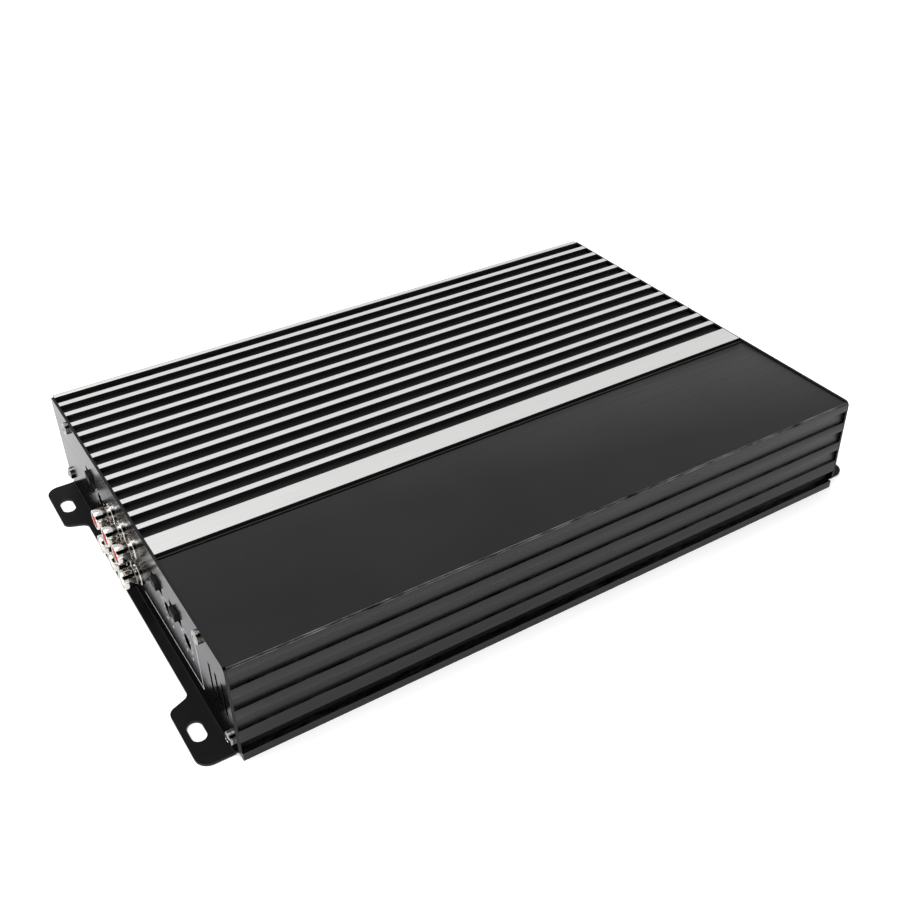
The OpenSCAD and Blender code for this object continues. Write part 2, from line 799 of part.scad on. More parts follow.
// The plastic body of a fuse: a wide head with a thinner window between its two posts
module fuse_body(y) {
    x0 = face_x - fuse_seat;
    difference() {
        block([x0, y - fuse_t / 2, fuse_z - fuse_w / 2], [x0 + fuse_body_l, y + fuse_t / 2, fuse_z + fuse_w / 2]);
        for (s = [-1, 1])
            block([x0 - 1, y + s * (fuse_t / 2) - 0.8, fuse_z - 3], [x0 + fuse_body_l - 3, y + s * (fuse_t / 2) + 0.8,
                fuse_z + 3]);
    }
}

module fuse_blades(y) {
    x0 = face_x - fuse_seat;
    for (s = [-1, 1])
        translate([x0, y, fuse_z + s * (fuse_w / 2 - 4)])
            block([-blade_l, -blade_t / 2, -blade_w / 2 + 0.2], [0, blade_t / 2, blade_w / 2 - 0.2]);
}

module fuse_a() { color("#e0b21c") fuse_body(fuse_ys[0]); }
module fuse_b() { color("#e0b21c") fuse_body(fuse_ys[1]); }
module fuse_a_blades() { color("#c8c8cb") fuse_blades(fuse_ys[0]); }
module fuse_b_blades() { color("#c8c8cb") fuse_blades(fuse_ys[1]); }

// Two domed lamps through the panel, on legs that stand on the board
lamp_pitch = 7;
lamp_z = 34;
lamp_ys = [-front - lamp_back, -front - lamp_back + lamp_pitch];

module indicator_lamps() {
    color("#2fae4e") for (y = lamp_ys) {
        rod_x(sink_x - 5, face_x + 0.3, y, lamp_z, lamp_d);
        translate([face_x + 0.3, y, lamp_z]) intersection() {
            sphere(d = lamp_d);
            block([0, -lamp_d, -lamp_d], [lamp_d, lamp_d, lamp_d]);
        }
        block([sink_x - 4.6, y - 0.8, board_top], [sink_x - 4, y + 0.8, lamp_z]);
    }
}

module power_panel() {
    fuse_half = fuse_pitch + 1 + hole_gap;
    color("#6e6e70") panel_sheet() {
        terminal_window(speaker_ways, speaker_pitch, speaker_y, speaker_h);
        terminal_window(supply_ways, supply_pitch, supply_y, supply_h);
        block([sink_x - 1, front + fuse_y - fuse_half, board_top - hole_gap],
            [face_x + 1, front + fuse_y + fuse_half, holder_top + hole_gap]);
        for (y = lamp_ys) rod_x(sink_x - 1, face_x + 1, y, lamp_z, lamp_d + 2 * hole_gap);
    }
}

module terminal_window(ways, pitch, middle, height) {
    half = ways * pitch / 2 + hole_gap;
    block([sink_x - 1, front + middle - half, board_top - hole_gap],
        [face_x + 1, front + middle + half, board_top + height + hole_gap]);
}

module power_panel_screws() {
    color("#b9b9bc") panel_screw_set();
}

// ---- inner parts ----------------------------------------------------------------------------------

module circuit_board() {
    half = rail_y + board_grip - 0.1;
    color("#1f5a38") block([-sink_x + 0.3, -half, board_z], [sink_x - 0.3, half, board_top]);
}

toroid_x = 62;
toroid_y = 20;
toroid_hole = 18;
winding_t = 3;

// The ring of a wound transformer between two wall depths inside its outer surface
module ring_profile(inset) {
    r = 5 - min(inset, 3);
    low = [toroid_hole / 2 + inset, inset];
    size = [(toroid_d - toroid_hole) / 2 - 2 * inset, toroid_h - 2 * inset];
    translate(low + [r, 0]) square(size - [2 * r, 0]);
    translate(low + [0, r]) square(size - [0, 2 * r]);
    for (x = [r, size[0] - r], z = [r, size[1] - r]) translate(low + [x, z]) circle(r);
}

module transformer_core() {
    color("#4d5b52") translate([toroid_x, toroid_y, board_top]) rotate_extrude() ring_profile(winding_t);
}

module transformer_winding() {
    color("#b4622a") translate([toroid_x, toroid_y, board_top]) rotate_extrude() difference() {
        ring_profile(0);
        ring_profile(winding_t);
    }
}

// A can with a rolled groove near its foot and a bevelled top
module capacitor(d, h) {
    groove = 0.6;
    rotate_extrude() polygon([[0, 0], [d / 2, 0], [d / 2, 2], [d / 2 - groove, 2.6], [d / 2, 3.2],
        [d / 2, h - 0.6], [d / 2 - 0.6, h], [0, h]]);
}

module reservoir_capacitors() {
    color("#22242c") for (x = [-1.5:1.5], y = [-1, 1])
        translate([-30 + x * (bulk_d + 4), y * (bulk_d / 2 + 3), board_top]) capacitor(bulk_d, bulk_h);
}

module small_capacitors() {
    color("#22242c") {
        for (k = [0:3])
            translate([sink_x - power_row_inset, k * (small_d + 6) - small_row_y, board_top])
                capacitor(small_d, small_h);
        for (k = [0:5])
            translate([signal_row_inset - sink_x, k * (small_d + 8) - small_row_y, board_top])
                capacitor(small_d, small_h);
    }
}

// Chips in two rows of legs beside the signal end
module signal_chips() {
    color("#1a1a1a") for (k = [0:4])
        translate([chip_row_inset - sink_x, k * chip_row_pitch - chip_row_y, board_top]) {
        block([-3.2, -9.5, 0.5], [3.2, 9.5, 3.8]);
        for (s = [-1, 1], n = [-3:3])
            translate([s * 3.6, n * 2.54, 0]) block([-0.5, -0.4, 0], [0.5, 0.4, 2]);
    }
}

// Transistors stand along the walls, clamped flat against them over a thin pad
pad_t = 0.3;
chip_t = 4.5;
chip_w = 10;
chip_h = 15;
chip_z = board_top + 5;
bar_t = 3;
bar_h = 7;
chip_xs = [for (k = [0:chip_count - 1]) (k - (chip_count - 1) / 2) * chip_pitch];

function clamp_screw_xs() = [for (k = [0:chip_count - 2]) (k - (chip_count - 2) / 2) * chip_pitch];
bar_z = chip_z + chip_h / 2;

module transistor(x) {
    outer = inner_y - pad_t;
    block([x - chip_w / 2, outer - chip_t, chip_z], [x + chip_w / 2, outer, chip_z + chip_h]);
    leg_y = rail_y - 1.5;
    for (k = [-1:1])
        translate([x + k * 2.54 - 0.4, 0, 0]) rotate([90, 0, 90]) linear_extrude(0.8)
            polygon([[leg_y - 0.6, board_top], [leg_y, board_top], [leg_y, chip_z - 1.5], [outer - 2, chip_z - 1.5],
                [outer - 2, chip_z + eps], [outer - 2.6, chip_z + eps], [outer - 2.6, chip_z - 0.9],
                [leg_y - 0.6, chip_z - 0.9]]);
}

module back_transistors() {
    color("#202022") for (x = chip_xs) transistor(x);
}

module front_transistors() {
    color("#202022") mirror([0, 1, 0]) for (x = chip_xs) transistor(x);
}

module insulating_pads() {
    half = (chip_count - 1) * chip_pitch / 2 + chip_w;
    color("#b8bcc4") both_sides() difference() {
        block([-half, inner_y - pad_t, chip_z - 1], [half, inner_y, chip_z + chip_h + 1]);
        for (x = clamp_screw_xs()) clamp_screw_shank(x, hole_gap);
    }
}

module clamp_bars() {
    half = (chip_count - 1) * chip_pitch / 2 + chip_w;
    outer = inner_y - pad_t - chip_t;
    color("#77777a") both_sides() difference() {
        block([-half, outer - bar_t, bar_z - bar_h / 2], [half, outer, bar_z + bar_h / 2]);
        for (x = clamp_screw_xs()) clamp_screw_shank(x, hole_gap);
    }
}

module clamp_screw_shank(x, gap) {
    outer = inner_y - pad_t - chip_t - bar_t;
    translate([x, outer - eps, bar_z]) rotate([-90, 0, 0])
        cylinder(d = screw_d + 2 * gap, h = inner_y - outer + 2 + gap);
}

module clamp_screws() {
    outer = inner_y - pad_t - chip_t - bar_t;
    color("#8d8d90") both_sides() for (x = clamp_screw_xs()) {
        clamp_screw_shank(x, 0);
        translate([x, outer - 2, bar_z]) rotate([-90, 0, 0]) cylinder(d = 5, h = 2);
    }
}

// ---- nodes ----------------------------------------------------------------------------------------

heat_sink();
bottom_plate();
input_panel();
power_panel();
input_panel_screws();
power_panel_screws();
bottom_screws();
circuit_board();
jack_housing();
jack_barrels();
jack_insulators_red();
jack_insulators_white();
jack_contacts();
switch_housings();
slide_knob(switch_ys[0]);  // front_filter_knob
slide_knob(switch_ys[1]);  // input_mode_knob
slide_knob(switch_ys[2]);  // rear_filter_knob
level_control_housings();
level_shaft(level_ys[0]);  // front_level_shaft
level_shaft(level_ys[1]);  // front_crossover_shaft
level_shaft(level_ys[2]);  // rear_level_shaft
speaker_terminal_block();
speaker_terminal_clamps();
speaker_terminal_screws();
supply_terminal_block();
supply_terminal_clamps();
supply_terminal_screws();
fuse_holder();
fuse_clips();
fuse_a();
fuse_a_blades();
fuse_b();
fuse_b_blades();
indicator_lamps();
transformer_core();
transformer_winding();
reservoir_capacitors();
small_capacitors();
signal_chips();
front_transistors();
back_transistors();
insulating_pads();
clamp_bars();
clamp_screws();
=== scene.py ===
# %% [markdown]
# # Dressing a car amplifier
#
# The amplifier is a black aluminium extrusion with bright machined fin tops, closed by two bent steel
# panels. Every hard part already has its true size in the imported frame. This lesson gives each part the
# small things that make it look made: broken edges, brushed and painted surfaces, printed marks and a
# wound wire. It starts by loading the frame.

# %% Load the frame
import json
import math

import bmesh
import bpy
from mathutils import Matrix, Vector


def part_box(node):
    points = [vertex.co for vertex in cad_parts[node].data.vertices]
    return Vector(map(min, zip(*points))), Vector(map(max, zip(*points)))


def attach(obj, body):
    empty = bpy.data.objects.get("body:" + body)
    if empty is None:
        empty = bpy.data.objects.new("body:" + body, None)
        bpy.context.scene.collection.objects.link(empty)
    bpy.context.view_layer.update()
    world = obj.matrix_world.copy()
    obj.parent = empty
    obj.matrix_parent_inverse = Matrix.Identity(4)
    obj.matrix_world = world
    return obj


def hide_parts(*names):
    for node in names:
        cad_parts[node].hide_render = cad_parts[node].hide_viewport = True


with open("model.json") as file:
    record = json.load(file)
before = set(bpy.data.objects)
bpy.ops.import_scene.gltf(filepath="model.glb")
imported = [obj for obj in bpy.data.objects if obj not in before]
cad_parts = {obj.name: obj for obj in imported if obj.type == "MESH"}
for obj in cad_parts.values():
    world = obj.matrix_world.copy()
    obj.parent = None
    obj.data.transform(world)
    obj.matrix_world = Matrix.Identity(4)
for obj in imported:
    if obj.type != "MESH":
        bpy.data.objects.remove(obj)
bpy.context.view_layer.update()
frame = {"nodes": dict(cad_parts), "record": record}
MM = 0.001
BODY_OF = {node: body for body, nodes in frame["record"]["behaviour"]["bodies"].items() for node in nodes}
SLOT_OF = {row["node"]: row["material_slot"] for row in frame["record"]["subparts"]}
SHAFTS = ("front_level_shaft", "front_crossover_shaft", "rear_level_shaft")
KNOBS = ("front_filter_knob", "input_mode_knob", "rear_filter_knob")


def box_mm(node):
    """The low and high corner of a node's box, in millimetres."""
    return [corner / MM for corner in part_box(node)]


# %% [markdown]
# ## The camera
#
# The camera looks down on the front corner of the signal end, so close that the far end looks clearly
# smaller. It comes first, because all looks are judged through it. Its lens is a little shorter than
# 50 mm, and a small shift moves the part slightly off the middle of the picture.

# %% Place the camera
CAMERA_PLACE = Vector((-232.35, -389.89, 339.11)) * MM
CAMERA_TURN = [math.radians(angle) for angle in (54.225, 0.727, -32.356)]
CAMERA_LENS = 45.26
SENSOR_WIDTH = 36
CAMERA_SHIFT = (-0.0149, 0.0139)
CLIP_START = 0.01
camera = bpy.data.objects.new("camera", bpy.data.cameras.new("camera"))
camera.location = CAMERA_PLACE
camera.rotation_euler = CAMERA_TURN
camera.data.lens = CAMERA_LENS
camera.data.sensor_width = SENSOR_WIDTH
camera.data.shift_x, camera.data.shift_y = CAMERA_SHIFT
camera.data.clip_start = CLIP_START
bpy.context.scene.collection.objects.link(camera)
bpy.context.scene.camera = camera
print("camera at", [round(value, 3) for value in CAMERA_PLACE])

# %% [markdown]
# ## How a finish is made
#
# A real finish is never one flat colour. Paint has a faint orange peel, brushed metal has streaks along
# the stroke, moulded plastic has a fine grain. Each is a noise pattern in the piece's own millimetres
# that nudges colour, roughness and height. These helpers keep one finish to a few lines.


# %% Helpers for finishes
NOISE_LOW = 0.3
NOISE_HIGH = 0.7


def finish(name, colour, roughness, metallic=0.0, **sockets):
    """A new material with one shader. sockets are other constant values, such as coat_weight=0.5."""
    material = bpy.data.materials.new(name)
    material.use_nodes = True
    shader = material.node_tree.nodes["Principled BSDF"]
    shader.inputs["Base Color"].default_value = (*colour, 1)
    shader.inputs["Roughness"].default_value = roughness
    shader.inputs["Metallic"].default_value = metallic
    for socket, value in sockets.items():
        shader.inputs[socket.replace("_", " ").title().replace("Ior", "IOR")].default_value = value
    return material


def grain(material, per_mm, stretch=(1, 1, 1), detail=2.0):
    """A noise on the piece's own coordinates, with so many specks to a millimetre."""
    tree = material.node_tree
    coordinates = tree.nodes.new("ShaderNodeTexCoord")
    scale = tree.nodes.new("ShaderNodeMapping")
    noise = tree.nodes.new("ShaderNodeTexNoise")
    scale.inputs["Scale"].default_value = stretch
    noise.inputs["Scale"].default_value = per_mm / MM
    noise.inputs["Detail"].default_value = detail
    tree.links.new(coordinates.outputs["Object"], scale.inputs["Vector"])
    tree.links.new(scale.outputs["Vector"], noise.inputs["Vector"])
    return noise.outputs[0]


def shift(material, factor, low, high):
    """A noise, most of which lies between NOISE_LOW and NOISE_HIGH, stretched between two values."""
    ramp = material.node_tree.nodes.new("ShaderNodeMapRange")
    ramp.inputs["From Min"].default_value = NOISE_LOW
    ramp.inputs["From Max"].default_value = NOISE_HIGH
    ramp.inputs["To Min"].default_value = low
    ramp.inputs["To Max"].default_value = high
    material.node_tree.links.new(factor, ramp.inputs["Value"])
    return ramp.outputs["Result"]


def drive(material, socket, value):
    """Feeds a node's output into one socket of the shader."""
    shader = material.node_tree.nodes["Principled BSDF"]
    material.node_tree.links.new(value, shader.inputs[socket])


def tint(material, factor, dark, light):
    """Colour between dark and light by the factor."""
    mix = material.node_tree.nodes.new("ShaderNodeMix")
    mix.data_type = "RGBA"
    mix.inputs["A"].default_value = (*dark, 1)
    mix.inputs["B"].default_value = (*light, 1)
    material.node_tree.links.new(shift(material, factor, 0, 1), mix.inputs["Factor"])
    drive(material, "Base Color", mix.outputs["Result"])


def relief(material, factor, depth_mm):
    """Height from the factor, so deep from its lowest to its highest."""
    bump = material.node_tree.nodes.new("ShaderNodeBump")
    bump.inputs["Distance"].default_value = depth_mm * MM
    material.node_tree.links.new(factor, bump.inputs["Height"])
    drive(material, "Normal", bump.outputs["Normal"])


# %% [markdown]
# ## The finishes
#
# - The extrusion is anodised black over a slightly rough drawn surface, so it takes long faint streaks
#   along the fins. The fin tops are skimmed with a cutter after that, and show bare aluminium.
# - The end panels are steel with a smooth black paint, which mirrors its surroundings at a low angle.
# - Sockets and screws are nickel plated: bright, with a soft lengthwise turning grain. The shiny screw
#   heads are painted darker than nickel, standing in for the dark surroundings they mirror.
# - Knobs, blocks and the fuse holder are moulded, with a fine satin grain.


# %% Metal finishes
def drawn_black(name, shine):
    """Black anodising over a drawn surface, with long faint streaks along X."""
    black = finish(name, (0.007, 0.0065, 0.007), 0.36, specular_ior_level=shine)
    streaks = grain(black, 0.9, stretch=(0.02, 1, 1))
    cloud = grain(black, 0.02)
    tint(black, cloud, (0.0055, 0.005, 0.0055), (0.0085, 0.008, 0.0085))
    drive(black, "Roughness", shift(black, streaks, 0.32, 0.41))
    relief(black, grain(black, 2.2), 0.006)
    return black


def milled_aluminium():
    """Bare metal with the cutter's fine lines along X."""
    bright = finish("milled_aluminium", (0.6, 0.6, 0.595), 0.42, metallic=0.8)
    streaks = grain(bright, 3.0, stretch=(0.012, 1, 1), detail=4)
    tint(bright, streaks, (0.565, 0.562, 0.556), (0.625, 0.622, 0.616))
    drive(bright, "Roughness", shift(bright, streaks, 0.38, 0.47))
    relief(bright, streaks, 0.002)
    return bright


def glint_edge():
    """Painted glints on the extrusion's edges: black with short bright metal lengths that stand in for
    highlights.
    """
    edge = finish("glint_edge", (0.2, 0.2, 0.2), 0.3, metallic=1.0)
    tint(edge, grain(edge, 0.5, stretch=(0.25, 1, 1), detail=4), (0.012, 0.012, 0.012), (0.2, 0.2, 0.195))
    return edge


def painted_black(name, colour, roughness):
    """Glossy black paint over brushed sheet, which mirrors most at a low angle."""
    paint = finish(name, colour, roughness, metallic=1.0, specular_tint=(0.62, 0.62, 0.63, 1))
    brushed = grain(paint, 1.6, stretch=(1, 0.03, 1), detail=3)
    drive(paint, "Roughness", shift(paint, brushed, roughness - 0.03, roughness + 0.05))
    relief(paint, brushed, 0.0015)
    return paint


def plated(name, colour, roughness, stretch=(1, 1, 1)):
    """Plated or bare metal, slightly duller in patches."""
    plate = finish(name, colour, roughness, metallic=1.0)
    worn = grain(plate, 0.4, stretch=stretch)
    tint(plate, worn, [value * 0.93 for value in colour], colour)
    drive(plate, "Roughness", shift(plate, worn, roughness * 0.85, roughness * 1.2))
    return plate


# %% Moulded and other finishes
def moulded(name, colour, roughness=0.45, grain_depth=0.01, **sockets):
    """Plastic with a fine satin grain, grain_depth millimetres deep."""
    plastic = finish(name, colour, roughness, **sockets)
    skin = grain(plastic, 3.0)
    tint(plastic, grain(plastic, 0.2), [value * 0.85 for value in colour], [value * 1.15 for value in colour])
    drive(plastic, "Roughness", shift(plastic, skin, roughness - 0.07, roughness + 0.08))
    relief(plastic, skin, grain_depth)
    return plastic


def circuit_green():
    """Solder mask: darker over bare board, a shade lighter where copper lies under it."""
    board = finish("board_green", (0.01, 0.09, 0.04), 0.25, coat_weight=0.3)
    tree = board.node_tree
    coordinates = tree.nodes.new("ShaderNodeTexCoord")
    tracks = tree.nodes.new("ShaderNodeTexBrick")
    tracks.inputs["Scale"].default_value = 0.18 / MM
    tracks.inputs["Color1"].default_value = (0.012, 0.11, 0.05, 1)
    tracks.inputs["Color2"].default_value = (0.015, 0.14, 0.06, 1)
    tracks.inputs["Mortar"].default_value = (0.005, 0.05, 0.025, 1)
    tree.links.new(coordinates.outputs["Object"], tracks.inputs["Vector"])
    drive(board, "Base Color", tracks.outputs["Color"])
    return board


FINISHES = {
    "black_anodised": drawn_black("black_anodised", 0.16),
    "panel_black": painted_black("panel_black", (0.03, 0.03, 0.031), 0.15),
    "plate_black": moulded("plate_black", (0.03, 0.03, 0.031), 0.55),
    # this screw colour is darker than nickel: a painted reflection of dark surroundings
    "bright_screw": plated("bright_screw", (0.28, 0.27, 0.255), 0.12),
    "dark_screw": plated("dark_screw", (0.42, 0.42, 0.43), 0.3),
    "board_green": circuit_green(),
    "black_moulding": moulded("black_moulding", (0.014, 0.014, 0.015)),
    "nickel": plated("nickel", (0.6, 0.575, 0.54), 0.1, stretch=(4, 0.05, 0.05)),
    "signal_red": moulded("signal_red", (0.42, 0.025, 0.015), 0.35, 0.002),
    "signal_white": moulded("signal_white", (0.82, 0.82, 0.8), 0.3, 0.004),
    "contact_gold": plated("contact_gold", (0.83, 0.62, 0.24), 0.22),
    "tin_shell": plated("tin_shell", (0.6, 0.6, 0.6), 0.35),
    "knob_black": moulded("knob_black", (0.005, 0.005, 0.0055), 0.5, 0.004, specular_ior_level=0.15),
    "pot_housing": moulded("pot_housing", (0.012, 0.014, 0.02), 0.5),
    "shaft_grey": moulded("shaft_grey", (0.02, 0.02, 0.021), 0.45),
    "fuse_amber": moulded("fuse_amber", (0.85, 0.36, 0.02), 0.18, 0.002, transmission_weight=0.6, ior=1.49),
    "blade_tin": plated("blade_tin", (0.72, 0.72, 0.7), 0.28),
    "lamp_green": moulded("lamp_green", (0.1, 0.6, 0.2), 0.12, 0.001, transmission_weight=0.7),
    "core_grey": moulded("core_grey", (0.1, 0.14, 0.12), 0.5),
    "copper": plated("copper", (0.72, 0.27, 0.12), 0.25, stretch=(0.1, 0.1, 1)),
    "can_sleeve": moulded("can_sleeve", (0.012, 0.016, 0.045), 0.3, 0.004),
    "chip_black": moulded("chip_black", (0.02, 0.02, 0.021), 0.5),
    "pad_grey": moulded("pad_grey", (0.38, 0.42, 0.47), 0.6),
    "bar_steel": plated("bar_steel", (0.5, 0.5, 0.51), 0.35, stretch=(0.03, 1, 1)),
}
RIBBED_BLACK = drawn_black("ribbed_black", 0.25)
MILLED = milled_aluminium()
# short bright lengths on edges and ledges: painted glints standing in for the highlights they catch
GLINT_EDGE = glint_edge()
# the foot tabs get a darker black than the panel: painted shade at the foot
FOOT_SHADE_BLACK = moulded("foot_shade_black", (0.004, 0.004, 0.0045), 0.5, 0.002, specular_ior_level=0.07)
print(len(FINISHES), "finishes by slot, and four for single surfaces")

# %% [markdown]
# ## Broken edges
#
# No real edge is perfectly sharp, and it is the thin line of light along it that makes a part look solid.
# A node of the frame is left as it is, so each part is dressed as a merged copy: loose triangles are
# joined, flat faces cleaned, and a fine bevel is laid along the hard edges only.


# %% Dress a copy of a node
JOIN_MM = 0.0005
FLAT_ANGLE = math.radians(0.2)
HARD_ANGLE = math.radians(35)
BEVEL_SEGMENTS = 2


def merged_copy(node):
    """A bmesh of a node, with its triangles joined and its flat faces made whole."""
    bm = bmesh.new()
    bm.from_mesh(frame["nodes"][node].data)
    bmesh.ops.remove_doubles(bm, verts=bm.verts, dist=JOIN_MM * MM)
    bmesh.ops.dissolve_limit(
        bm, angle_limit=FLAT_ANGLE, verts=bm.verts, edges=bm.edges, delimit={"NORMAL"}
    )
    return bm


def object_from(bm, name, materials):
    """Turns a bmesh into an object of the scene."""
    mesh = bpy.data.meshes.new(name)
    bm.to_mesh(mesh)
    bm.free()
    for material in materials:
        mesh.materials.append(material)
    made = bpy.data.objects.new(name, mesh)
    bpy.context.scene.collection.objects.link(made)
    return made


def place_piece(bm, name, node, finishes):
    """Turns a bmesh into a piece that rides with a node's body and stands for that node."""
    piece = object_from(bm, name, finishes)
    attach(piece, BODY_OF[node])
    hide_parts(node)
    return piece


def smooth(piece, hard_angle=None):
    """Smooth light over a piece, except across edges sharper than hard_angle."""
    for polygon in piece.data.polygons:
        polygon.use_smooth = True
    if hard_angle:
        piece.data.set_sharp_from_angle(angle=hard_angle)


def soften(piece, edge_mm):
    """A fine bevel on the hard edges, and smooth light over it."""
    smooth(piece, HARD_ANGLE)
    bevel = piece.modifiers.new("broken_edges", "BEVEL")
    bevel.width = edge_mm * MM
    bevel.segments = BEVEL_SEGMENTS
    bevel.limit_method = "ANGLE"
    bevel.angle_limit = HARD_ANGLE
    bevel.use_clamp_overlap = True
    bevel.harden_normals = True
    return piece


def dress(node, name, edge_mm):
    """A node's merged copy with its finish. Its edges are broken, unless edge_mm is 0."""
    piece = place_piece(merged_copy(node), name, node, [FINISHES[SLOT_OF[node]]])
    if edge_mm:
        return soften(piece, edge_mm)
    piece.data.shade_flat()
    return piece


# %% [markdown]
# ## The finned body
#
# The extrusion is black all over until a cutter skims the tops of the fins and the wide band behind the
# plain plate. So the wide faces that look straight up, at full height, get the bare aluminium. The ribs
# at the sides stay black. Their ledges and all edges get short bright metal lengths, a painted glint that
# stands in for the highlights these edges catch. Choosing faces by where they lie keeps the line between
# two finishes as crisp as the cut.

# %% Skim the fin tops
ANODISED, SKIMMED, RIBBED, GLINT = range(4)
BODY_FINISHES = [FINISHES["black_anodised"], MILLED, RIBBED_BLACK, GLINT_EDGE]
BODY_EDGE = 0.22
SKIM = 0.3 * MM
RIDGE_W = 2 * MM
RIBBED_DEPTH = 8 * MM
LEVEL = 0.99
LEDGE_SLOPE = 0.3
sink_low, sink_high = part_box("heat_sink")
skim_z = sink_high.z - SKIM
body_mesh = merged_copy("heat_sink")
skimmed = [
    face
    for face in body_mesh.faces
    if face.normal.z > LEVEL and face.calc_center_median().z > skim_z
]
for face in skimmed:
    width = max(vert.co.y for vert in face.verts) - min(vert.co.y for vert in face.verts)
    face.material_index = SKIMMED if width > RIDGE_W else ANODISED
for face in body_mesh.faces:
    centre = face.calc_center_median()
    side_y = min(centre.y - sink_low.y, sink_high.y - centre.y)
    if side_y < RIBBED_DEPTH and centre.z < skim_z:
        # rib ledges take the painted glint edge
        face.material_index = GLINT if face.normal.z > LEDGE_SLOPE else RIBBED
finned_body = place_piece(body_mesh, "finned_body", "heat_sink", BODY_FINISHES)
# the bevel faces along every hard edge take the painted glint too
soften(finned_body, BODY_EDGE).modifiers["broken_edges"].material = GLINT
print(len(skimmed), "skimmed faces")

# %% [markdown]
# ## The base plate, screws, blocks and inner parts
#
# These keep the shapes of the frame. Each has its own edge, in millimetres: the sheared base plate stays
# sharp, moulded parts are rounder, and screw heads are rolled smooth.

# %% Dress the carried-over parts
EDGES = {
    "bottom_plate": ("base_plate", 0),
    "input_panel_screws": ("signal_panel_screws", 0.12),
    "power_panel_screws": ("supply_panel_screws", 0.12),
    "bottom_screws": ("base_screws", 0.08),
    "circuit_board": ("main_board", 0.1),
    "jack_housing": ("socket_block", 0.3),
    "switch_housings": ("switch_shells", 0.2),
    "level_control_housings": ("control_housings", 0.25),
    "speaker_terminal_block": ("speaker_block", 0.3),
    "speaker_terminal_clamps": ("speaker_clamps", 0.15),
    "speaker_terminal_screws": ("speaker_screws", 0.1),
    "supply_terminal_block": ("supply_block", 0.35),
    "supply_terminal_clamps": ("supply_clamps", 0.2),
    "supply_terminal_screws": ("supply_screws", 0.12),
    "fuse_holder": ("fuse_socket", 0.35),
    "fuse_clips": ("fuse_leaves", 0.05),
    "fuse_a": ("left_fuse", 0.4),
    "fuse_a_blades": ("left_fuse_blades", 0.1),
    "fuse_b": ("right_fuse", 0.4),
    "fuse_b_blades": ("right_fuse_blades", 0.1),
    "indicator_lamps": ("lamps", 0.1),
    "transformer_core": ("ring_core", 0.3),
    "reservoir_capacitors": ("reservoir_cans", 0.3),
    "small_capacitors": ("small_cans", 0.25),
    "signal_chips": ("chips", 0.1),
    "front_transistors": ("front_power_transistors", 0.15),
    "back_transistors": ("back_power_transistors", 0.15),
    "insulating_pads": ("thermal_pads", 0.05),
    "clamp_bars": ("pressure_bars", 0.25),
    "clamp_screws": ("bar_screws", 0.15),
}
for node, (name, edge_mm) in EDGES.items():
    dress(node, name, edge_mm)
print(len(EDGES), "parts dressed")

# %% [markdown]
# ## The bent end panels
#
# Each panel is one sheet, bent outwards at its foot. The upright part is glossy, while the tabs at its
# foot are dull and painted a darker black, as the shade there. The vents were punched before painting,
# and the punch left them a little wider at the face, so the copy's slots are opened out from their middle
# lines.

# %% Dress the panels
TAB_TOP = 3 * MM
LEVEL_ENOUGH = 0.7
PANEL_EDGE = 0.12
VENT_FIRST = 6
VENT_PITCH = 6.2
VENT_COUNT = 3
VENT_HALF = 0.75
VENT_SLACK = 1.2
VENT_OPEN = 0.3


def panel(node, name, vents=()):
    """A bent panel, with its tabs dull and painted a darker black as shade, and its vent slots opened out."""
    sheet = merged_copy(node)
    for middle in vents:
        slot_verts = [
            vert
            for vert in sheet.verts
            if abs(vert.co.y - middle) < VENT_HALF * VENT_SLACK * MM and vert.co.z > TAB_TOP
        ]
        for side in (-1, 1):
            edge_verts = [vert for vert in slot_verts if (vert.co.y - middle) * side > 0]
            bmesh.ops.translate(sheet, vec=(0, side * VENT_OPEN * MM, 0), verts=edge_verts)
    for face in sheet.faces:
        # tab faces take the darker black, painted shade at the foot
        on_tab = face.calc_center_median().z < TAB_TOP and abs(face.normal.z) > LEVEL_ENOUGH
        face.material_index = 1 if on_tab else 0
    piece = place_piece(sheet, name, node, [FINISHES["panel_black"], FOOT_SHADE_BLACK])
    return soften(piece, PANEL_EDGE)


vent_middles = [sink_low.y + (VENT_FIRST + VENT_PITCH * index) * MM for index in range(VENT_COUNT)]
panel("input_panel", "signal_panel", vent_middles)
panel("power_panel", "supply_panel")
print("panels dressed, vents", 2 * (VENT_HALF + VENT_OPEN), "mm wide")

# %% [markdown]
# ## The phono sockets
#
# A socket barrel is turned from brass and plated. It could be bevelled from the frame's tube, but a
# turned part is easiest to draw as its own outline, spun once round its axis: a flange against the
# panel, a neck, a shoulder, the barrel, and a rolled lip at the mouth. The coloured cores and the
# contacts inside them are turned the same way, and stand a little back from the mouth.


# %% Turn the barrels
SPIN_STEPS = 48
TURNED_ANGLE = math.radians(30)


def turned(bm, outline, y, z):
    """Spins an outline of (x, radius) points, in millimetres, once round the line along X at y and z."""
    axis = Vector((0, y, z)) * MM
    verts = [bm.verts.new(Vector((x, y, z + radius)) * MM) for x, radius in outline]
    edges = [bm.edges.new(pair) for pair in zip(verts, verts[1:] + verts[:1])]
    bmesh.ops.spin(
        bm,
        geom=verts + edges,
        cent=axis,
        axis=(1, 0, 0),
        angle=math.tau,
        steps=SPIN_STEPS,
        use_merge=True,
    )


